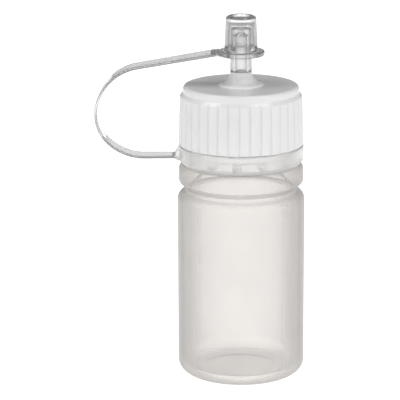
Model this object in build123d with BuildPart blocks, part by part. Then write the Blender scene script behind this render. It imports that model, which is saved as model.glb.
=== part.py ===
from build123d import *
from math import cos, radians, sin, tan
import os

# Tethered dropper bottle of the 30 ml class, in millimetres. The origin is the centre of the
# base, +Z points up through the dropper tip, and the strap loops out on the -X side.

# ---------------------------------------------------------------- bottle
body_radius = 17.0
body_height = 47.4  # straight wall, measured from the base
body_wall = 1.0
floor_thickness = 1.6
heel_radius = 3.4
recess_radius = 10.5  # shallow push-up in the middle of the base
recess_depth = 0.8
shoulder_radius = 3.3
shoulder_turn = 60  # degrees of arc before the shoulder runs straight in to the waist
waist_height = 0.85  # narrow band between the shoulder and the collar
collar_width = 3.85  # how far the collar stands out from the neck
collar_chamfer = 1.7
collar_band = 3.3
collar_round = 1.45
neck_inset = 4.25  # how far the root of the thread stands in from the body's wall
neck_wall = 1.65
neck_height = 18.8  # from the top of the collar to the rim
bead_depth = 1.55  # of the bead that keeps the tether ring on the neck
bead_height = 3.7  # middle of the bead above the top of the collar
bead_band = 1.1
bead_slope = 0.7
rim_round = 0.4

# ---------------------------------------------------------------- screw thread
thread_pitch = 4.233  # six turns to the inch
thread_depth = 1.2
thread_crest = 1.1
thread_root = 2.1
thread_sink = 0.35  # how deep a ridge is rooted in its wall
neck_thread_turns = 1.5
cap_thread_turns = 1.75
neck_thread_drop = 9.4  # from the rim down to the start of the ridge
thread_clearance = 0.35  # radial, between a crest and the root that it faces

# ---------------------------------------------------------------- tether ring
ring_gap = 0.2  # above the collar
ring_height = 4.95
ring_clearance = 1.0  # radial, around the bead
ring_wall = 1.38
ring_top_chamfer = 0.25
ring_foot_width = 0.9
ring_foot_height = 1.25
lug_count = 14
lug_clearance = 0.95  # from the inner end of a lug to the neck
lug_width = 2.3
lug_height = 1.0  # lower edge at the wall, above the foot of the ring
lug_slope = 0.7
lug_thickness = 0.7
lug_sink = 0.25  # how deep a lug is rooted in the ring
lug_turn = -95.0  # degrees, places one lug just left of the front
root_length = 1.0  # of the pad on the ring that carries the strap
root_height = 3.7
root_drop = 0.7  # below the strap's centre line
root_width = 6.4

# ---------------------------------------------------------------- closure
skirt_gap = 0.25  # above the tether ring
skirt_wall = 2.32  # at the foot, over the ribs
skirt_draft = 0.35  # loss of radius from the foot of the skirt to its top
skirt_slope = 1.0  # height of the sloped step between the ribs and the crown
roof_thickness = 1.35
crown_wall = 1.1
crown_round = 1.65
crown_land = 0.2
rib_count = 36
groove_width = 0.6
groove_depth = 0.32
groove_run_out = 1.0  # below the foot of the skirt
groove_reach = 1.65  # of a groove's cutter, from the floor of the groove outwards
groove_turn = -93.0  # degrees, places one groove just left of the front
washer_thickness = 1.0
washer_clearance = 0.4
washer_hole = 6.0
cone_spread = 3.12  # how far the foot of the cone stands out from the dropper tip
cone_step = 0.35
cone_flare = 2.75
cone_height = 3.65
flare_radius = 4.0
funnel_width = 1.45  # widening of the cone's bore at the roof
funnel_height = 1.0

# ---------------------------------------------------------------- dropper tip
tip_radius = 2.88
tip_length = 11.6  # above the closure's cone
tip_taper = 0.26
tip_end_round = 0.3
tip_bore = 1.6
tip_end_wall = 1.1
orifice_radius = 0.6
spigot_wall = 0.55
spigot_length = 3.6

# ---------------------------------------------------------------- overcap
overcap_standoff = 4.3  # from the top of the closure's cone to the flange
flange_width = 1.85  # beyond the overcap's wall
flange_thickness = 1.3
flange_round = 0.4
mouth_clearance = 0.07
mouth_height = 2.7
overcap_foot_width = 0.4
overcap_foot_height = 0.9
overcap_wall = 0.68
overcap_height = 10.5  # from the underside of the flange to the top
overcap_round = 0.8
overcap_room = 0.75  # radial, around the tip above the mouth
overcap_draft = 0.4  # loss of radius from the mouth to the top
overcap_roof = 2.1
dimple_rim = 1.55  # width of the rim around the dimple in the top
dimple_depth = 0.5
tab_length = 0.6  # beyond the flange, where the strap joins on

# ---------------------------------------------------------------- strap
strap_thickness = 0.7
strap_low_width = 5.2
strap_bend_width = 6.2
strap_high_width = 7.4
strap_loop = 21.82  # from the ring to the outermost point of the strap's centre line
strap_slope = 9.5  # degrees, of the run that meets the overcap
strap_root_height = 1.9  # centre line above the foot of the ring
low_arcs = ((14.2, 41), (11.0, 49))  # radii before scaling and angles, from the ring outwards
high_arcs = ((11.0, 15), (13.7, 65.5))  # the same, from the outermost point on to the overcap

# ---------------------------------------------------------------- heights and sizes that follow
neck_radius = body_radius - neck_inset
collar_radius = neck_radius + collar_width
waist_radius = collar_radius - collar_chamfer
shoulder_centre = body_radius - shoulder_radius
shoulder_end = (
    shoulder_centre + shoulder_radius * cos(radians(shoulder_turn)),
    body_height + shoulder_radius * sin(radians(shoulder_turn)),
)
waist_foot = shoulder_end[1] + (shoulder_end[0] - waist_radius) / tan(radians(shoulder_turn))
collar_foot = waist_foot + waist_height
collar_top = collar_foot + collar_chamfer + collar_band + collar_round
bead_radius = neck_radius + bead_depth
bead_foot = collar_top + bead_height - bead_band / 2
rim = collar_top + neck_height
ring_foot = collar_top + ring_gap
ring_top = ring_foot + ring_height
ring_bore = bead_radius + ring_clearance
ring_radius = ring_bore + ring_wall
lug_radius = neck_radius + lug_clearance
strap_reach = ring_radius + strap_loop
closure_bore = neck_radius + thread_depth + thread_clearance
ceiling = rim + washer_thickness
crown_top = ceiling + roof_thickness
step_top = crown_top - crown_round - crown_land
step_foot = step_top - skirt_slope
skirt_foot = ring_top + skirt_gap
skirt_radius = closure_bore + skirt_wall
crown_radius = closure_bore + crown_wall
cone_radius = tip_radius + cone_spread
cone_top = crown_top + cone_height
spigot_radius = tip_bore + spigot_wall
tip_end_radius = tip_radius - tip_taper
tip_top = cone_top + tip_length
mouth_radius = tip_radius + mouth_clearance
overcap_low_bore = mouth_radius + overcap_room
overcap_high_bore = overcap_low_bore - overcap_draft
overcap_low_radius = overcap_low_bore + overcap_wall
overcap_top_radius = overcap_high_bore + overcap_wall
overcap_foot_radius = overcap_low_radius + overcap_foot_width
flange_radius = overcap_low_radius + flange_width
flange_foot = cone_top + overcap_standoff
flange_top = flange_foot + flange_thickness
overcap_top = flange_foot + overcap_height
neck_thread_start = rim - neck_thread_drop
closure_thread_start = neck_thread_start - thread_pitch / 2
strap_root = (-ring_radius - root_length, ring_foot + strap_root_height)
strap_end = (-flange_radius - tab_length, flange_foot + flange_thickness / 2)
end_thickness = strap_thickness / cos(radians(strap_slope))


def run_and_rise(arcs, heading):
    """Return how far tangent arcs of (radius, angle) lead that turn clockwise from a heading."""
    run = 0
    rise = 0
    for radius, angle in arcs:
        run += radius * (sin(radians(heading)) - sin(radians(heading - angle)))
        rise += radius * (cos(radians(heading - angle)) - cos(radians(heading)))
        heading -= angle
    return run, rise


# the strap's arcs are scaled so that its two straight runs meet the ring and the overcap
low_run, low_rise = run_and_rise(low_arcs, 180)
high_run, high_rise = run_and_rise(high_arcs, 90)
slope = tan(radians(strap_slope))
rise_of_arcs = strap_end[1] - strap_root[1] - (strap_end[0] + strap_reach) * slope
arc_scale = rise_of_arcs / (low_rise + high_rise - high_run * slope)
low_straight = strap_reach + strap_root[0] + arc_scale * low_run


def add_ridge(root, start, turns, outward):
    """Add one helical ridge, rooted in a wall of the given radius and standing out or in."""
    side = 1 if outward else -1
    with BuildLine():
        path = Helix(thread_pitch, turns * thread_pitch, root, center=(0, 0, start))
    with BuildSketch(Plane(path @ 0, x_dir=(1, 0, 0), z_dir=path % 0)) as ridge:
        with BuildLine():
            Polyline(
                (-side * thread_sink, -thread_root / 2),
                (side * thread_depth, -thread_crest / 2),
                (side * thread_depth, thread_crest / 2),
                (-side * thread_sink, thread_root / 2),
                close=True,
            )
        make_face()
    sweep(sections=ridge.sketch, path=path, is_frenet=True)


def add_arcs(start, direction, arcs):
    """Add tangent arcs that turn clockwise, and return the last one."""
    for radius, angle in arcs:
        arc = JernArc(start, direction, arc_scale * radius, -angle)
        start = arc @ 1
        direction = arc % 1
    return arc


def strap_section(place, direction, width, thickness):
    """Return the strap's cross-section, square to a direction in the XZ plane."""
    with BuildSketch(Plane(place, x_dir=(0, 1, 0), z_dir=direction)) as section:
        Rectangle(width, thickness)
    return section.sketch


# ---------------------------------------------------------------- bottle
with BuildPart() as bottle:
    with BuildSketch(Plane.XZ):
        with BuildLine():
            base = Polyline(
                (0, recess_depth),
                (recess_radius - recess_depth, recess_depth),
                (recess_radius, 0),
                (body_radius - heel_radius, 0),
            )
            heel = JernArc(base @ 1, (1, 0), heel_radius, 90)
            wall = Line(heel @ 1, (body_radius, body_height))
            shoulder = JernArc(wall @ 1, (0, 1), shoulder_radius, shoulder_turn)
            collar = Polyline(
                shoulder @ 1,
                (waist_radius, waist_foot),
                (waist_radius, collar_foot),
                (collar_radius, collar_foot + collar_chamfer),
                (collar_radius, collar_top - collar_round),
            )
            collar_edge = JernArc(collar @ 1, (0, 1), collar_round, 90)
            Polyline(
                collar_edge @ 1,
                (neck_radius, collar_top),
                (neck_radius, bead_foot - bead_slope),
                (bead_radius, bead_foot),
                (bead_radius, bead_foot + bead_band),
                (neck_radius, bead_foot + bead_band + bead_slope),
                (neck_radius, rim),
                (0, rim),
                (0, recess_depth),
            )
        make_face()
    revolve(axis=Axis.Z)
    add_ridge(neck_radius, neck_thread_start, neck_thread_turns, outward=True)
    inner_radius = body_radius - body_wall
    inner_heel = heel_radius - body_wall
    inner_shoulder = shoulder_radius - body_wall
    inner_floor = recess_depth + floor_thickness
    inner_waist = waist_radius - body_wall
    neck_bore = neck_radius - neck_wall
    with BuildSketch(Plane.XZ):
        with BuildLine():
            floor = Line((0, inner_floor), (inner_radius - inner_heel, inner_floor))
            floor_edge = JernArc(floor @ 1, (1, 0), inner_heel, 90)
            inner_wall = Line(floor_edge @ 1, (inner_radius, body_height))
            roof_edge = JernArc(inner_wall @ 1, (0, 1), inner_shoulder, shoulder_turn)
            roof_end = roof_edge @ 1
            roof_run = roof_end.X - inner_waist
            inner_waist_foot = roof_end.Y + roof_run / tan(radians(shoulder_turn))
            Polyline(
                roof_end,
                (inner_waist, inner_waist_foot),
                (inner_waist, collar_foot),
                (neck_bore, collar_foot + inner_waist - neck_bore),
                (neck_bore, rim),
                (0, rim),
                (0, inner_floor),
            )
        make_face()
    revolve(axis=Axis.Z, mode=Mode.SUBTRACT)
    rim_edges = bottle.edges().filter_by(GeomType.CIRCLE).filter_by_position(Axis.Z, rim, rim)
    fillet(rim_edges.sort_by(SortBy.RADIUS)[0], rim_round)

# ---------------------------------------------------------------- tether ring
with BuildPart() as lug:
    with BuildSketch(Plane.XZ):
        with BuildLine():
            lug_foot = ring_foot + lug_height
            lug_top = lug_foot + lug_slope + lug_thickness
            Polyline(
                (ring_bore, lug_foot),
                (lug_radius, lug_foot + lug_slope),
                (lug_radius, lug_top),
                (ring_bore, lug_top),
                (ring_bore + lug_sink, lug_top),
                (ring_bore + lug_sink, lug_foot),
                close=True,
            )
        make_face()
    extrude(amount=lug_width / 2, both=True)

with BuildPart() as tether_ring:
    with BuildSketch(Plane.XZ):
        with BuildLine():
            Polyline(
                (ring_bore, ring_foot),
                (ring_radius - ring_foot_width, ring_foot),
                (ring_radius, ring_foot + ring_foot_height),
                (ring_radius, ring_top - ring_top_chamfer),
                (ring_radius - ring_top_chamfer, ring_top),
                (ring_bore, ring_top),
                close=True,
            )
        make_face()
    revolve(axis=Axis.Z)
    with PolarLocations(0, lug_count, start_angle=lug_turn):
        add(lug.part)
    with BuildSketch(Plane.XZ):
        with BuildLine():
            root_x, root_z = strap_root
            ring_middle = (ring_radius + ring_bore) / 2
            Polyline(
                (root_x, root_z - strap_thickness / 2),
                (root_x, root_z + strap_thickness / 2),
                (-ring_radius, root_z + root_height / 2),
                (-ring_middle, root_z + root_height / 2),
                (-ring_middle, root_z - root_drop),
                (-ring_radius, root_z - root_drop),
                close=True,
            )
        make_face()
    extrude(amount=root_width / 2, both=True)

# ---------------------------------------------------------------- strap, lower and upper half
with BuildPart() as strap_lower:
    with BuildLine(Plane.XZ) as low_path:
        low_run_line = Line(strap_root, (strap_root[0] - low_straight, strap_root[1]))
        add_arcs(low_run_line @ 1, (-1, 0, 0), low_arcs)
    low_wire = low_path.wires()[0]
    low_end = strap_section(low_wire @ 0, low_wire % 0, strap_low_width, strap_thickness)
    sweep(sections=low_end, path=low_wire)

with BuildPart() as strap_upper:
    with BuildLine(Plane.XZ) as high_path:
        add_arcs(low_wire @ 1, (0, 0, 1), high_arcs)
    high_wire = high_path.wires()[0]
    bend_start = strap_section(high_wire @ 0, high_wire % 0, strap_bend_width, strap_thickness)
    bend_end = strap_section(high_wire @ 1, high_wire % 1, strap_bend_width, strap_thickness)
    end_place = (strap_end[0], 0, strap_end[1])
    high_end = strap_section(end_place, (1, 0, 0), strap_high_width, end_thickness)
    sweep(sections=bend_start, path=high_wire)
    loft(sections=[bend_end, high_end])

# ---------------------------------------------------------------- closure
def rib_radius(height):
    """Return the radius of the rib faces at a height."""
    return skirt_radius - skirt_draft * (height - skirt_foot) / (step_foot - skirt_foot)


with BuildPart() as groove:
    for height in (skirt_foot - groove_run_out, step_top):
        with BuildSketch(Plane.XY.offset(height)):
            with Locations((rib_radius(height) - groove_depth + groove_reach / 2, 0)):
                Rectangle(groove_reach, groove_width)
    loft()

with BuildPart() as closure:
    with BuildSketch(Plane.XZ):
        with BuildLine():
            skirt = Polyline(
                (0, skirt_foot),
                (skirt_radius, skirt_foot),
                (rib_radius(step_foot), step_foot),
                (crown_radius, step_top),
                (crown_radius, step_top + crown_land),
            )
            crown = JernArc(skirt @ 1, (0, 1), crown_round, 90)
            boss = Polyline(crown @ 1, (cone_radius, crown_top), (cone_radius, crown_top + cone_step))
            flare = RadiusArc(boss @ 1, (tip_radius, crown_top + cone_flare), flare_radius)
            Polyline(flare @ 1, (tip_radius, cone_top), (0, cone_top), (0, skirt_foot))
        make_face()
    revolve(axis=Axis.Z)
    with BuildSketch(Plane.XY.offset(skirt_foot)):
        Circle(closure_bore)
    extrude(amount=ceiling - skirt_foot, mode=Mode.SUBTRACT)
    with BuildSketch(Plane.XZ):
        with BuildLine():
            Polyline(
                (0, ceiling),
                (spigot_radius + funnel_width, ceiling),
                (spigot_radius, ceiling + funnel_height),
                (spigot_radius, cone_top),
                (0, cone_top),
                close=True,
            )
        make_face()
    revolve(axis=Axis.Z, mode=Mode.SUBTRACT)
    with PolarLocations(0, rib_count, start_angle=groove_turn):
        add(groove.part, mode=Mode.SUBTRACT)
    add_ridge(closure_bore, closure_thread_start, cap_thread_turns, outward=False)

# ---------------------------------------------------------------- seal washer
with BuildPart() as seal_washer:
    with BuildSketch(Plane.XY.offset(rim)):
        Circle(closure_bore - washer_clearance)
        Circle(washer_hole, mode=Mode.SUBTRACT)
    extrude(amount=washer_thickness)

# ---------------------------------------------------------------- dropper tip
with BuildPart() as dropper_tip:
    with BuildSketch(Plane.XZ):
        with BuildLine():
            Polyline(
                (tip_bore, cone_top - spigot_length),
                (spigot_radius, cone_top - spigot_length),
                (spigot_radius, cone_top),
                (tip_radius, cone_top),
                (tip_end_radius, tip_top),
                (orifice_radius, tip_top),
                (orifice_radius, tip_top - tip_end_wall),
                (tip_bore, tip_top - tip_end_wall - tip_bore + orifice_radius),
                close=True,
            )
        make_face()
    revolve(axis=Axis.Z)
    rings = dropper_tip.edges().filter_by(GeomType.CIRCLE)
    end_rings = rings.filter_by_position(Axis.Z, tip_top, tip_top)
    fillet(end_rings.sort_by(SortBy.RADIUS)[-1], tip_end_round)

# ---------------------------------------------------------------- overcap
with BuildPart() as overcap:
    with BuildSketch(Plane.XZ):
        with BuildLine():
            Polyline(
                (mouth_radius, flange_foot),
                (flange_radius, flange_foot),
                (flange_radius, flange_top),
                (overcap_foot_radius, flange_top),
                (overcap_low_radius, flange_top + overcap_foot_height),
                (overcap_top_radius, overcap_top),
                (overcap_top_radius - dimple_rim, overcap_top),
                (overcap_top_radius - dimple_rim - dimple_depth, overcap_top - dimple_depth),
                (0, overcap_top - dimple_depth),
                (0, overcap_top - overcap_roof),
                (overcap_high_bore, overcap_top - overcap_roof),
                (overcap_low_bore, flange_foot + mouth_height),
                (mouth_radius, flange_foot + mouth_height),
                close=True,
            )
        make_face()
    revolve(axis=Axis.Z)
    rings = overcap.edges().filter_by(GeomType.CIRCLE)
    top_rings = rings.filter_by_position(Axis.Z, overcap_top, overcap_top)
    fillet(top_rings.sort_by(SortBy.RADIUS)[-1], overcap_round)
    flange_rings = rings.filter_by(lambda ring: abs(ring.radius - flange_radius) < flange_round / 10)
    fillet(flange_rings, flange_round)
    with BuildSketch(Plane.YZ.offset(strap_end[0])):
        with Locations((0, strap_end[1])):
            Rectangle(strap_high_width, end_thickness)
    extrude(amount=flange_radius - overcap_low_radius + tab_length)

# ---------------------------------------------------------------- files
bottle.part.label = "bottle"
tether_ring.part.label = "tether_ring"
strap_lower.part.label = "strap_lower"
strap_upper.part.label = "strap_upper"
closure.part.label = "closure"
seal_washer.part.label = "seal_washer"
dropper_tip.part.label = "dropper_tip"
overcap.part.label = "overcap"

os.makedirs("parts", exist_ok=True)
for piece in (bottle, tether_ring, strap_lower, strap_upper, closure, seal_washer, dropper_tip, overcap):
    export_step(piece.part, f"parts/{piece.part.label}.step")
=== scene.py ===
from math import cos, hypot, pi, radians, sin, tan

import bpy
from mathutils import Euler, Matrix, Vector


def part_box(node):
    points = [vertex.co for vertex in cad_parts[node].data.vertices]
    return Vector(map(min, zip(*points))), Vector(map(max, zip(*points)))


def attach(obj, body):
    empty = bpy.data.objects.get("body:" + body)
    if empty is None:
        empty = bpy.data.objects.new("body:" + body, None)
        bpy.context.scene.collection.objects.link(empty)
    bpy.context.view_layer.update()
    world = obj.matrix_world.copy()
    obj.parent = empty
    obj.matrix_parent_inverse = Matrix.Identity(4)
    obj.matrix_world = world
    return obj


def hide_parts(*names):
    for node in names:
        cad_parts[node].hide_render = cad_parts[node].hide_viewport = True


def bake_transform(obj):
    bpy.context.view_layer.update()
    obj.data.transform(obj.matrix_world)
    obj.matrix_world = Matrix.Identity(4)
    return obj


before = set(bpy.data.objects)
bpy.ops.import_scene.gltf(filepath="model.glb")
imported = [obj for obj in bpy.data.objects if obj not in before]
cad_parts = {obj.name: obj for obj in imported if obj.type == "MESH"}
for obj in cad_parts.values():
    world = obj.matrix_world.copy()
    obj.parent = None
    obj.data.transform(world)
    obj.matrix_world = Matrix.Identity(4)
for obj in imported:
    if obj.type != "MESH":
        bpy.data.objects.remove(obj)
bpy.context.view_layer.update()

# Tethered dropper bottle. Lengths are in millimetres up to the point where a mesh is made, and
# the frame is in metres. The bottle's axis is the frame's Z axis and it stands on z = 0.
MM = 0.001


def span(node):
    """Lowest and highest corner of a CAD node, in millimetres."""
    low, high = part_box(node)
    return low / MM, high / MM


# ---------------------------------------------------------------- sizes
bottle_high = span("bottle")[1]
closure_low, closure_high = span("closure")
ring_low = span("tether_ring")[0]
overcap_low = span("overcap")[0]
tip_high = span("dropper_tip")[1]

BODY_RADIUS = bottle_high.x
RIM = bottle_high.z
SKIRT_RADIUS = closure_high.x
SKIRT_FOOT = closure_low.z
CONE_TOP = closure_high.z
TIP_RADIUS = tip_high.x
RING_FOOT = ring_low.z
FLANGE_MIDDLE = overcap_low.z + 0.65

BODY_HEIGHT = 47.4
WALL = 1.0
FLOOR_TOP = 2.4
HEEL = 3.4
RECESS_RADIUS = 10.5
RECESS_DEPTH = 0.8
RECESS_ROUND = 0.8
RECESS_LIP = 0.5
BASE_TOP = RECESS_DEPTH + 0.03  # faces that lie no higher belong to the base, whose material is painted lighter
SHOULDER = 3.3
SHOULDER_TURN = 60
WAIST_RADIUS = 14.9
WAIST_HEIGHT = 0.85
COLLAR_RADIUS = 16.6
COLLAR_TOP = RIM - 18.8
COLLAR_ROUND = 1.45
NECK_RADIUS = 12.75
NECK_BORE = 11.1
BEAD_RADIUS = 14.3
BEAD_MIDDLE = COLLAR_TOP + 3.7
BEAD_HALF = 0.55
BEAD_SLOPE = 0.7
BEAD_ROUND = 0.3
NECK_CORNER = 0.2

THREAD_PITCH = 4.233
THREAD_DEPTH = 1.2
THREAD_CREST = 0.55
THREAD_ROOT = 1.05
THREAD_SINK = 0.3  # how deep a ridge is rooted in its wall
THREAD_BEVEL = 0.25
THREAD_STEPS = 96  # sections in one turn
THREAD_LEAD_IN = 8  # sections over which an end tapers
NECK_THREAD_START = RIM - 9.4
NECK_THREAD_TURNS = 1.5
CAP_THREAD_TURNS = 1.75

CLOSURE_BORE = 14.3
CEILING = RIM + 1.0
CROWN_TOP = CEILING + 1.35
CROWN_RADIUS = CLOSURE_BORE + 1.1
CROWN_ROUND = 1.65
STEP_TOP = CROWN_TOP - CROWN_ROUND - 0.2
STEP_FOOT = STEP_TOP - 1.0
SKIRT_DRAFT = 0.35
RIB_COUNT = 36
GROOVE_HALF = 0.3
GROOVE_DEPTH = 0.32
GROOVE_EDGE = 0.16
GROOVE_TURN = -93.0
GROOVE_STEPS = (0.0, 0.7, 1.0, 1.25, 1.5, 1.8, 2.3, 3.4, 5.0)  # degrees from a groove's middle
SLOPE_STEPS = 5
CONE_RADIUS = TIP_RADIUS + 3.12
CONE_LIP = 0.42
CONE_FLARE = 1.05
CONE_NECK = 2.75
SPIGOT_RADIUS = 2.15
FUNNEL_WIDTH = 1.45
FUNNEL_HEIGHT = 1.0
SEAM = 0.03  # keeps two touching faces from lying in one place

STRAP_THICKNESS = 0.7
STRAP_SLOPE = 9.5
STRAP_REACH = 38.5
STRAP_ROOT_HEIGHT = 1.9
STRAP_ROOT_WIDTH = 5.2
STRAP_END_WIDTH = 7.4
STRAP_EDGE = 0.22
STRAP_EDGE_TURNS = (0, 30, 60, 90)  # degrees round a rounded edge
STRAIGHT_STEPS = 10
RUN_STEPS = 16
LOW_ARCS = ((14.2, 41), (11.0, 49))
HIGH_ARCS = ((11.0, 15), (13.7, 65.5))

TURN_STEPS = 180
ROUND_STEP = radians(11)  # of one facet in a rounded corner
FLAT_TURN = radians(2)  # corners that turn less stay sharp
ROUND_SHARE = 0.49  # of a side, the most that a rounded corner takes
NO_INNER = 1000  # above every corner number

CAMERA_RAISED = radians(14.7)
CAMERA_ROLL = radians(-0.27)
CAMERA_DISTANCE = 0.583
CAMERA_TARGET = Vector((-0.011, 0, 0.04745))
SENSOR_WIDTH = 36
IMAGE_WIDTH = 400
FOCAL_PIXELS = 2173
LIT_HEIGHT = 0.07  # of the point that the lamps look at
FLOOR_HALF = 6000
FLOOR_DEPTH = -0.05


# ---------------------------------------------------------------- mesh building
class Shape:
    """Vertices and faces of one piece, gathered in millimetres."""

    def __init__(self):
        self.vertices = []
        self.faces = []
        self.slots = []

    def face(self, corners, slot=0):
        self.faces.append(corners)
        self.slots.append(slot)

    def build(self, name, materials):
        mesh = bpy.data.meshes.new(name)
        mesh.from_pydata([Vector(v) * MM for v in self.vertices], [], self.faces)
        for material in materials:
            mesh.materials.append(material)
        mesh.polygons.foreach_set("material_index", self.slots)
        mesh.polygons.foreach_set("use_smooth", [True] * len(self.faces))
        mesh.update()
        piece = bpy.data.objects.new(name, mesh)
        bpy.context.scene.collection.objects.link(piece)
        shading = piece.modifiers.new("even_shading", "WEIGHTED_NORMAL")
        shading.keep_sharp = True
        return piece


def rounded(corners):
    """Points (r, z, corner number) of a closed outline of corners (r, z, rounding radius)."""
    points = []
    for number, (r, z, radius) in enumerate(corners):
        here = Vector((r, z))
        back = Vector(corners[number - 1][:2]) - here
        ahead = Vector(corners[(number + 1) % len(corners)][:2]) - here
        turn = pi - back.angle(ahead)
        if radius == 0 or turn < FLAT_TURN:
            points.append((r, z, number))
            continue
        reach = min(
            radius * tan(turn / 2), ROUND_SHARE * back.length, ROUND_SHARE * ahead.length
        )
        side = 1 if back.x * ahead.y - back.y * ahead.x < 0 else -1
        start = here + back.normalized() * reach
        inward = -back.normalized()
        centre = start + Vector((-inward.y, inward.x)) * side * reach / tan(turn / 2)
        steps = max(2, round(turn / ROUND_STEP))
        for step in range(steps + 1):
            swing = Matrix.Rotation(side * turn * step / steps, 2)
            place = centre + swing @ (start - centre)
            points.append((place.x, place.y, number))
    return points


def between(start, end, count):
    """Corners that divide a straight run, its ends left out."""
    return [
        (start[0] + (end[0] - start[0]) * k / count, start[1] + (end[1] - start[1]) * k / count, 0)
        for k in range(1, count)
    ]


def lathe(shape, outline, angles, inner_from=NO_INNER, radius_at=None):
    """Turn an outline of (r, z, corner number) points about the Z axis."""
    rings = []
    for r, z, number in outline:
        if r < 0.001:
            shape.vertices.append((0, 0, z))
            rings.append([len(shape.vertices) - 1] * len(angles))
            continue
        first = len(shape.vertices)
        for angle in angles:
            reach = radius_at(angle, r, z) if radius_at and number < inner_from else r
            shape.vertices.append((reach * cos(angle), reach * sin(angle), z))
        rings.append(list(range(first, first + len(angles))))
    for index, ring in enumerate(rings):
        following = rings[(index + 1) % len(rings)]
        slot = 1 if outline[index][2] >= inner_from else 0
        for k in range(len(angles)):
            m = (k + 1) % len(angles)
            corners = []
            for vertex in (ring[k], ring[m], following[m], following[k]):
                if vertex not in corners:
                    corners.append(vertex)
            if len(corners) > 2:
                shape.face(corners, slot)


def add_thread(shape, root, start, turns, side, slot=0):
    """Add one helical ridge with tapered ends; side is 1 outward and -1 inward."""
    profile = (
        (-THREAD_SINK, -THREAD_ROOT),
        (THREAD_DEPTH - THREAD_BEVEL, -THREAD_CREST - 0.1),
        (THREAD_DEPTH, -THREAD_CREST + 0.15),
        (THREAD_DEPTH, THREAD_CREST - 0.15),
        (THREAD_DEPTH - THREAD_BEVEL, THREAD_CREST + 0.1),
        (-THREAD_SINK, THREAD_ROOT),
    )
    steps = round(THREAD_STEPS * turns)
    sections = []
    for step in range(steps + 1):
        turned = turns * step / steps
        angle = 2 * pi * turned
        share = min(1, (step + 0.5) / THREAD_LEAD_IN, (steps - step + 0.5) / THREAD_LEAD_IN)
        first = len(shape.vertices)
        for depth, rise in profile:
            reach = root + side * (-THREAD_SINK + (depth + THREAD_SINK) * share)
            height = start + THREAD_PITCH * turned + rise
            shape.vertices.append((reach * cos(angle), reach * sin(angle), height))
        sections.append(list(range(first, first + len(profile))))
    close_tube(shape, sections, side < 0, True, True, slot)


def close_tube(shape, sections, flip, cap_start, cap_end, slot=0):
    """Join sections of equal vertex counts into a tube."""
    for here, following in zip(sections, sections[1:]):
        for k in range(len(here)):
            m = (k + 1) % len(here)
            corners = [here[k], following[k], following[m], here[m]]
            shape.face(corners[::-1] if flip else corners, slot)
    if cap_start:
        shape.face(sections[0][::-1] if flip else sections[0], slot)
    if cap_end:
        shape.face(sections[-1] if flip else sections[-1][::-1], slot)


# ---------------------------------------------------------------- materials
def node(tree, kind, inputs=None, **settings):
    """Add a shader node, set its properties, and set or link its inputs."""
    made = tree.nodes.new("ShaderNode" + kind)
    for key, value in settings.items():
        setattr(made, key, value)
    for key, value in (inputs or {}).items():
        if isinstance(value, bpy.types.NodeSocket):
            tree.links.new(value, made.inputs[key])
        else:
            made.inputs[key].default_value = value
    return made


def ramp(tree, factor, stops, interpolation="LINEAR"):
    """A colour ramp from (position, grey or colour) stops."""
    made = node(tree, "ValToRGB", {"Fac": factor})
    made.color_ramp.interpolation = interpolation
    elements = made.color_ramp.elements
    while len(elements) < len(stops):
        elements.new(0.5)
    for element, (position, tone) in zip(elements, stops):
        element.position = position
        element.color = (*tone, 1) if isinstance(tone, tuple) else (tone, tone, tone, 1)
    return made.outputs["Color"]


def new_material(name):
    made = bpy.data.materials.new(name)
    made.use_nodes = True
    made.node_tree.nodes.clear()
    return made, made.node_tree


def finish_material(tree, surface):
    node(tree, "OutputMaterial", {"Surface": surface})


def place(tree):
    return node(tree, "TexCoord").outputs["Object"]


def tint(tree, tone, low, high, scale, detail=3.0):
    """Multiply a colour by a soft cloud between two brightnesses."""
    cloud = node(tree, "TexNoise", {"Vector": place(tree), "Scale": scale, "Detail": detail})
    shade = ramp(tree, cloud.outputs["Fac"], ((0.3, low), (0.7, high)))
    mixed = node(tree, "Mix", {0: 1.0, 6: tone, 7: shade}, data_type="RGBA", blend_type="MULTIPLY")
    return mixed.outputs[2]


def grain(tree, scale, strength, distance):
    """Fine moulded texture as a bump."""
    fine = node(tree, "TexNoise", {"Vector": place(tree), "Scale": scale, "Detail": 2.0})
    inputs = {"Height": fine.outputs["Fac"], "Strength": strength, "Distance": distance}
    return node(tree, "Bump", inputs).outputs["Normal"]


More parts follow.
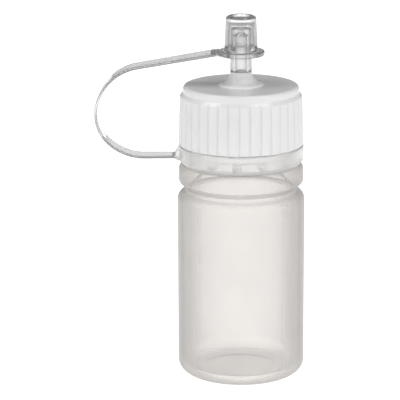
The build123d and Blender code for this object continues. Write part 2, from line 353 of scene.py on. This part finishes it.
def milky(name, colour, through, open_stops, gloss, roughness, grain_strength):
    """Translucent moulded plastic: scatters, glows through, and is less clear seen edge-on."""
    made, tree = new_material(name)
    facing = node(tree, "LayerWeight", {"Blend": 0.5}).outputs["Facing"]
    tone = tint(tree, (*colour, 1), 0.965, 1.0, 70.0)
    normal = grain(tree, 2600.0, grain_strength, 0.00006)
    lit = node(tree, "BsdfDiffuse", {"Color": tone, "Normal": normal}).outputs["BSDF"]
    glow = node(tree, "BsdfTranslucent", {"Color": tone, "Normal": normal}).outputs["BSDF"]
    body = node(tree, "MixShader", {"Fac": through, 1: lit, 2: glow}).outputs["Shader"]
    open_share = ramp(tree, facing, open_stops, "CARDINAL")
    window = node(tree, "BsdfTransparent", {"Color": (0.985, 0.968, 0.952, 1)}).outputs["BSDF"]
    seen = node(tree, "MixShader", {"Fac": open_share, 1: body, 2: window}).outputs["Shader"]
    uneven = node(tree, "TexNoise", {"Vector": place(tree), "Scale": 400.0}).outputs["Fac"]
    rough = node(
        tree,
        "MapRange",
        {"Value": uneven, "To Min": roughness * 0.85, "To Max": roughness * 1.15},
    ).outputs["Result"]
    shine = node(tree, "BsdfGlossy", {"Roughness": rough, "Normal": normal}).outputs["BSDF"]
    fresnel = node(tree, "Fresnel", {"IOR": 1.5, "Normal": normal}).outputs["Fac"]
    share = node(tree, "Math", {0: fresnel, 1: gloss}, operation="MULTIPLY").outputs["Value"]
    leaving = node(tree, "NewGeometry").outputs["Backfacing"]  # shines only on the way in
    share = node(tree, "Mix", {0: leaving, 2: share, 3: 0.0}, data_type="FLOAT").outputs[0]
    finish_material(tree, node(tree, "MixShader", {"Fac": share, 1: seen, 2: shine}).outputs["Shader"])
    return made


def inner_face(name, stops, haze):
    """The inside of a translucent wall, which only adds a faint haze and outlines: its tone is darker
    edge-on, partly for the longer path through the wall and partly painted shade.
    """
    made, tree = new_material(name)
    facing = node(tree, "LayerWeight", {"Blend": 0.5}).outputs["Facing"]
    # Partly painted shade: the tone darkens where the face is seen edge-on, drawing the wall's
    # outlines.
    tone = tint(tree, ramp(tree, facing, stops), 0.97, 1.0, 90.0)
    glow = node(tree, "BsdfTranslucent", {"Color": tone}).outputs["BSDF"]
    window = node(tree, "BsdfTransparent", {"Color": tone}).outputs["BSDF"]
    finish_material(tree, node(tree, "MixShader", {"Fac": haze, 1: window, 2: glow}).outputs["Shader"])
    return made


def clear(name, stops, roughness, haze, haze_tone):
    """Clear polished plastic with a share of haze, tinted grey where it is seen edge-on: painted shade
    for the dark surroundings seen through its edges.
    """
    made, tree = new_material(name)
    facing = node(tree, "LayerWeight", {"Blend": 0.5}).outputs["Facing"]
    # Painted shade: the tint greys where the face is seen edge-on, standing in for the dark
    # surroundings seen through the edges.
    tone = tint(tree, ramp(tree, facing, stops), 0.97, 1.0, 250.0)
    wave = node(tree, "TexNoise", {"Vector": place(tree), "Scale": 320.0, "Detail": 1.0})
    inputs = {"Height": wave.outputs["Fac"], "Strength": 0.03, "Distance": 0.0002}
    normal = node(tree, "Bump", inputs).outputs["Normal"]
    rough = node(
        tree,
        "MapRange",
        {"Value": wave.outputs["Fac"], "To Min": roughness * 0.5, "To Max": roughness * 1.5},
    ).outputs["Result"]
    surface = node(
        tree,
        "BsdfPrincipled",
        {
            "Base Color": tone,
            "Roughness": rough,
            "IOR": 1.49,
            "Transmission Weight": 1.0,
            "Normal": normal,
        },
    )
    grey = (haze_tone, haze_tone, haze_tone, 1)
    lit = node(tree, "BsdfDiffuse", {"Color": grey}).outputs["BSDF"]
    glow = node(tree, "BsdfTranslucent", {"Color": grey}).outputs["BSDF"]
    cloud = node(tree, "MixShader", {"Fac": 0.35, 1: lit, 2: glow}).outputs["Shader"]
    mixed = node(tree, "MixShader", {"Fac": haze, 1: surface.outputs["BSDF"], 2: cloud})
    finish_material(tree, mixed.outputs["Shader"])
    return made


bottle_plastic = milky(
    "milky_bottle",
    (0.52, 0.505, 0.49),
    through=0.5,
    open_stops=((0.0, 0.84), (0.25, 0.71), (0.45, 0.46), (0.65, 0.3), (1.0, 0.03)),
    gloss=0.5,
    roughness=0.38,
    grain_strength=0.04,
)
# The base: a lighter, more see-through copy of the bottle plastic, painted light for the glow that
# reaches it from the floor beneath.
bottle_base_painted_light = milky(
    "milky_bottle_base_painted_light",
    (0.58, 0.57, 0.555),
    through=0.6,
    open_stops=((0.0, 0.7), (1.0, 0.4)),
    gloss=0.5,
    roughness=0.38,
    grain_strength=0.04,
)
bottle_inside = inner_face("milky_bottle_inside", ((0.0, 0.98), (0.7, 0.94), (1.0, 0.6)), haze=0.1)
closure_plastic = milky(
    "milky_closure",
    (0.80, 0.80, 0.807),
    through=0.22,
    open_stops=((0.0, 0.1), (0.7, 0.06), (1.0, 0.02)),
    gloss=1.0,
    roughness=0.1,
    grain_strength=0.02,
)
closure_inside = inner_face("milky_closure_inside", ((0.0, 0.97), (0.7, 0.93), (1.0, 0.7)), haze=0.35)
# Edge-on tints for the clear plastics, painted shade for the dark surroundings seen through their
# edges; the strap's rounded edges get the darkest.
round_edge_shade_stops = ((0.0, 0.97), (0.16, 0.86), (0.38, 0.42), (0.7, 0.26), (1.0, 0.06))
flat_edge_shade_stops = ((0.0, 0.97), (0.5, 0.94), (0.85, 0.84), (1.0, 0.35))
strap_edge_shade_stops = ((0.0, 0.62), (0.5, 0.5), (1.0, 0.2))
clear_plastic = clear("clear_plastic", round_edge_shade_stops, 0.05, 0.06, 0.9)
clear_ring = clear("clear_ring", flat_edge_shade_stops, 0.06, 0.34, 0.97)
clear_strap = clear("clear_strap", flat_edge_shade_stops, 0.04, 0.06, 0.95)
# The strap's rounded edges: darker and greyer, painted shade for the dark surroundings seen through
# them.
clear_strap_painted_edge = clear("clear_strap_painted_edge", strap_edge_shade_stops, 0.05, 0.3, 0.4)
clear_tip = clear("clear_tip", round_edge_shade_stops, 0.07, 0.12, 0.97)
seal_foam = milky(
    "seal_foam",
    (0.88, 0.88, 0.86),
    through=0.15,
    open_stops=((0.0, 0.0), (1.0, 0.0)),
    gloss=0.3,
    roughness=0.7,
    grain_strength=0.3,
)


# ---------------------------------------------------------------- pieces
def standing_for(piece, nodes):
    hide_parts(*nodes)
    return piece


def even_angles():
    return [2 * pi * k / TURN_STEPS for k in range(TURN_STEPS)]


def make_bottle():
    """Thin-walled bottle with a collar, a neck bead and a screw thread."""
    slant = tan(radians(SHOULDER_TURN))
    shoulder_corner = BODY_HEIGHT + SHOULDER * tan(radians(SHOULDER_TURN / 2))
    waist_foot = shoulder_corner + (BODY_RADIUS - WAIST_RADIUS) / slant
    collar_foot = waist_foot + WAIST_HEIGHT
    inner_radius = BODY_RADIUS - WALL
    inner_waist = WAIST_RADIUS - WALL
    inner_corner = BODY_HEIGHT + (SHOULDER - WALL) * tan(radians(SHOULDER_TURN / 2))
    inner_waist_foot = inner_corner + (inner_radius - inner_waist) / slant
    outer = [
        (0, RECESS_DEPTH, 0),
        (RECESS_RADIUS - RECESS_DEPTH, RECESS_DEPTH, RECESS_ROUND),
        (RECESS_RADIUS, 0, RECESS_LIP),
        (BODY_RADIUS, 0, HEEL),
        (BODY_RADIUS, shoulder_corner, SHOULDER),
        (WAIST_RADIUS, waist_foot, 0.35),
        (WAIST_RADIUS, collar_foot, 0.3),
        (COLLAR_RADIUS, collar_foot + COLLAR_RADIUS - WAIST_RADIUS, 0.9),
        (COLLAR_RADIUS, COLLAR_TOP, COLLAR_ROUND),
        (NECK_RADIUS, COLLAR_TOP, 0.3),
        (NECK_RADIUS, BEAD_MIDDLE - BEAD_HALF - BEAD_SLOPE, NECK_CORNER),
        (BEAD_RADIUS, BEAD_MIDDLE - BEAD_HALF, BEAD_ROUND),
        (BEAD_RADIUS, BEAD_MIDDLE + BEAD_HALF, BEAD_ROUND),
        (NECK_RADIUS, BEAD_MIDDLE + BEAD_HALF + BEAD_SLOPE, NECK_CORNER),
        (NECK_RADIUS, RIM, NECK_CORNER),
    ]
    inner = [
        (NECK_BORE, RIM, 0.4),
        (NECK_BORE, collar_foot + inner_waist - NECK_BORE, 0.8),
        (inner_waist, collar_foot, 0.5),
        (inner_waist, inner_waist_foot, 0.5),
        (inner_radius, inner_corner, SHOULDER - WALL),
        (inner_radius, FLOOR_TOP, HEEL - WALL),
        (0, FLOOR_TOP, 0),
    ]
    shape = Shape()
    lathe(shape, rounded(outer + inner), even_angles(), inner_from=len(outer))
    add_thread(shape, NECK_RADIUS, NECK_THREAD_START, NECK_THREAD_TURNS, 1)
    # Faces of the base take the third material, which is painted lighter.
    for index, corners in enumerate(shape.faces):
        if all(shape.vertices[corner][2] <= BASE_TOP for corner in corners):
            shape.slots[index] = 2
    piece = shape.build("bottle_shell", [bottle_plastic, bottle_inside, bottle_base_painted_light])
    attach(piece, "bottle")
    return standing_for(piece, ["bottle"])


def rib_face(z):
    return SKIRT_RADIUS - SKIRT_DRAFT * (z - SKIRT_FOOT) / (STEP_FOOT - SKIRT_FOOT)


def make_closure():
    """Ribbed screw closure with a flat crown and a flared cone for the tip."""
    pitch = 360 / RIB_COUNT
    steps = list(GROOVE_STEPS) + [pitch - step for step in GROOVE_STEPS[-2:0:-1]]
    angles = [
        radians(GROOVE_TURN + pitch * rib + step) for rib in range(RIB_COUNT) for step in steps
    ]

    def grooved(angle, r, z):
        if z > STEP_TOP:
            return r
        turned = (angle - radians(GROOVE_TURN)) % radians(pitch)
        away = min(turned, radians(pitch) - turned) * SKIRT_RADIUS
        share = min(1, max(0, (GROOVE_HALF + GROOVE_EDGE - away) / (2 * GROOVE_EDGE)))
        share = share * share * (3 - 2 * share)
        return min(r, rib_face(z) - GROOVE_DEPTH * share)

    step_foot = (rib_face(STEP_FOOT), STEP_FOOT)
    step_top = (CROWN_RADIUS, STEP_TOP)
    outer = [
        (CLOSURE_BORE, SKIRT_FOOT, 0.25),
        (SKIRT_RADIUS, SKIRT_FOOT, 0.2),
        (*step_foot, 0.25),
        *between(step_foot, step_top, SLOPE_STEPS),
        (*step_top, 0.25),
        (CROWN_RADIUS, CROWN_TOP, CROWN_ROUND),
        (CONE_RADIUS, CROWN_TOP, 0.35),
        (CONE_RADIUS - 0.15, CROWN_TOP + CONE_LIP, 0.2),
        (TIP_RADIUS + 1.0, CROWN_TOP + CONE_FLARE, 2.2),
        (TIP_RADIUS, CROWN_TOP + CONE_NECK, 1.6),
        (TIP_RADIUS, CONE_TOP - SEAM, 0.1),
    ]
    inner = [
        (SPIGOT_RADIUS + SEAM, CONE_TOP - SEAM, 0),
        (SPIGOT_RADIUS + SEAM, CEILING + FUNNEL_HEIGHT, 0.3),
        (SPIGOT_RADIUS + FUNNEL_WIDTH, CEILING, 0.4),
        (CLOSURE_BORE, CEILING, 0.5),
    ]
    shape = Shape()
    lathe(shape, rounded(outer + inner), angles, len(outer), grooved)
    start = NECK_THREAD_START - THREAD_PITCH / 2
    add_thread(shape, CLOSURE_BORE, start, CAP_THREAD_TURNS, -1, 1)
    piece = shape.build("closure_shell", [closure_plastic, closure_inside])
    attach(piece, "closure")
    return standing_for(piece, ["closure"])


def run_and_rise(arcs, heading):
    """How far tangent arcs of (radius, angle) lead that turn clockwise from a heading."""
    run = rise = 0
    for radius, angle in arcs:
        run += radius * (sin(radians(heading)) - sin(radians(heading - angle)))
        rise += radius * (cos(radians(heading - angle)) - cos(radians(heading)))
        heading -= angle
    return run, rise


def strap_lines():
    """Centre lines of the strap's two halves as lists of (x, z, heading)."""
    root = Vector((ring_low.x, RING_FOOT + STRAP_ROOT_HEIGHT))
    end = Vector((overcap_low.x, FLANGE_MIDDLE))
    low_run, low_rise = run_and_rise(LOW_ARCS, 180)
    high_run, high_rise = run_and_rise(HIGH_ARCS, 90)
    slope = tan(radians(STRAP_SLOPE))
    rise = end.y - root.y - (end.x + STRAP_REACH) * slope
    scale = rise / (low_rise + high_rise - high_run * slope)
    low_straight = STRAP_REACH + root.x + scale * low_run

    def arcs(start, heading, parts):
        points = []
        here = start
        for radius, angle in parts:
            steps = round(angle / 2)
            for step in range(1 if points else 0, steps + 1):
                turned = angle * step / steps
                run, rise = run_and_rise(((scale * radius, turned),), heading)
                points.append((here.x + run, here.y + rise, radians(heading - turned)))
            here = Vector(points[-1][:2])
            heading -= angle
        return points

    low = [
        (root.x - low_straight * k / STRAIGHT_STEPS, root.y, pi) for k in range(STRAIGHT_STEPS)
    ]
    low += arcs(root - Vector((low_straight, 0)), 180, LOW_ARCS)
    high = arcs(Vector(low[-1][:2]), 90, HIGH_ARCS)
    last = Vector(high[-1][:2])
    high += [
        (*last.lerp(end, k / RUN_STEPS), radians(STRAP_SLOPE)) for k in range(1, RUN_STEPS + 1)
    ]
    return low, high


def ribbon(name, line, first_width, last_width, cap_start, cap_end, rises):
    """A flat band with rounded edges along a centre line in the XZ plane."""
    shape = Shape()
    lengths = [0]
    for (x0, z0, _), (x1, z1, _) in zip(line, line[1:]):
        lengths.append(lengths[-1] + hypot(x1 - x0, z1 - z0))
    sections = []
    for (x, z, heading), length in zip(line, lengths):
        share = length / lengths[-1]
        half_width = (first_width + (last_width - first_width) * share) / 2
        half = STRAP_THICKNESS / 2
        first = len(shape.vertices)
        for side, level in ((1, 1), (-1, 1), (-1, -1), (1, -1)):
            turns = STRAP_EDGE_TURNS if side == level else STRAP_EDGE_TURNS[::-1]
            for turned in turns:
                across = side * (half_width - STRAP_EDGE + STRAP_EDGE * cos(radians(turned)))
                up = level * (half - STRAP_EDGE + STRAP_EDGE * sin(radians(turned)))
                shape.vertices.append((x - up * sin(heading), across, z + up * cos(heading)))
        sections.append(list(range(first, len(shape.vertices))))
    close_tube(shape, sections, rises, cap_start, cap_end)
    # The rounded edges take the darker edge material, painted shade for the dark surroundings seen
    # through them.
    around = len(sections[0])
    for index in range(around * (len(sections) - 1)):
        on_flat = index % around % len(STRAP_EDGE_TURNS) == len(STRAP_EDGE_TURNS) - 1
        shape.slots[index] = 0 if on_flat else 1
    return shape.build(name, [clear_strap, clear_strap_painted_edge])


make_bottle()
make_closure()

low_line, high_line = strap_lines()
low_length = sum(hypot(b[0] - a[0], b[1] - a[1]) for a, b in zip(low_line, low_line[1:]))
high_length = sum(hypot(b[0] - a[0], b[1] - a[1]) for a, b in zip(high_line, high_line[1:]))
middle_width = STRAP_ROOT_WIDTH + (STRAP_END_WIDTH - STRAP_ROOT_WIDTH) * low_length / (
    low_length + high_length
)

lower = ribbon("strap_low", low_line, STRAP_ROOT_WIDTH, middle_width, True, False, True)
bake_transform(lower)
standing_for(lower, ["strap_lower"])

upper = ribbon("strap_high", high_line, middle_width, STRAP_END_WIDTH, False, True, True)
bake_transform(upper)
standing_for(upper, ["strap_upper"])

for name, finish in (
    ("tether_ring", clear_ring),
    ("overcap", clear_plastic),
    ("dropper_tip", clear_tip),
    ("seal_washer", seal_foam),
):
    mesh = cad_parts[name].data
    mesh.materials.clear()
    mesh.materials.append(finish)


# ---------------------------------------------------------------- stage, light and camera
def make_floor():
    """A wide, plain, evenly glowing white floor."""
    made, tree = new_material("pale_floor")
    glow = node(tree, "Emission", {"Color": (1, 1, 1, 1), "Strength": 0.85}).outputs["Emission"]
    soft = node(tree, "BsdfDiffuse", {"Color": (0.5, 0.5, 0.5, 1)}).outputs["BSDF"]
    finish_material(tree, node(tree, "AddShader", {0: soft, 1: glow}).outputs["Shader"])
    shape = Shape()
    shape.vertices = [
        (x * FLOOR_HALF, y * FLOOR_HALF, FLOOR_DEPTH) for x, y in ((-1, -1), (1, -1), (1, 1), (-1, 1))
    ]
    shape.face([0, 1, 2, 3])
    shape.build("floor", [made])


def make_world():
    """Soft surroundings: white in front and at the horizon, dark behind and overhead."""
    world = bpy.data.worlds.new("studio")
    bpy.context.scene.world = world
    world.use_nodes = True
    tree = world.node_tree
    tree.nodes.clear()
    direction = node(tree, "TexCoord").outputs["Generated"]
    split = node(tree, "SeparateXYZ", {"Vector": direction}).outputs
    sky = ramp(tree, split["Z"], ((0.0, 1.0), (0.2, 0.88), (0.5, 0.42), (1.0, 0.06)))
    inputs = {"Value": split["Y"], "From Min": 1.0, "From Max": -1.0, "To Min": 0.15, "To Max": 1.45}
    front = node(tree, "MapRange", inputs).outputs["Result"]
    light = node(tree, "Mix", {0: 1.0, 6: sky, 7: front}, data_type="RGBA", blend_type="MULTIPLY")
    inputs = {"Color": light.outputs[2], "Strength": 1.7}
    surface = node(tree, "Background", inputs).outputs["Background"]
    node(tree, "OutputWorld", {"Surface": surface})


def add_softbox(name, away, distance, width, height, power):
    """An area light that looks at the closure from a direction."""
    lamp = bpy.data.lights.new(name, "AREA")
    lamp.shape = "RECTANGLE"
    lamp.size = width
    lamp.size_y = height
    lamp.energy = power
    light = bpy.data.objects.new(name, lamp)
    bpy.context.scene.collection.objects.link(light)
    away = Vector(away).normalized()
    light.location = Vector((0, 0, LIT_HEIGHT)) + away * distance
    light.rotation_euler = away.to_track_quat("Z", "Y").to_euler()


def make_camera():
    """Looks at the bottle from the -Y side, from a little above."""
    data = bpy.data.cameras.new("camera")
    data.sensor_width = SENSOR_WIDTH
    data.lens = SENSOR_WIDTH * FOCAL_PIXELS / IMAGE_WIDTH
    data.clip_start = 0.01
    data.clip_end = 50
    camera = bpy.data.objects.new("camera", data)
    bpy.context.scene.collection.objects.link(camera)
    away = Vector((0, -cos(CAMERA_RAISED), sin(CAMERA_RAISED)))
    camera.location = CAMERA_TARGET + CAMERA_DISTANCE * away
    level = Euler((pi / 2 - CAMERA_RAISED, 0, 0)).to_matrix()
    facing = level @ Matrix.Rotation(CAMERA_ROLL, 3, "Z")
    camera.rotation_euler = facing.to_euler()
    bpy.context.scene.camera = camera


make_floor()
make_world()
add_softbox("softbox_left", (-0.5, -0.05, 0.86), 0.7, 0.26, 0.36, 1.3)
add_softbox("softbox_right", (0.34, -0.16, 0.92), 0.7, 0.26, 0.36, 1.3)
add_softbox("strip_right", (0.75, -0.62, 0.2), 0.7, 0.15, 0.5, 0.35)
make_camera()
bpy.context.scene.view_settings.view_transform = "Standard"
bpy.context.scene.cycles.max_bounces = 32
bpy.context.scene.cycles.transmission_bounces = 24
bpy.context.scene.cycles.transparent_max_bounces = 24
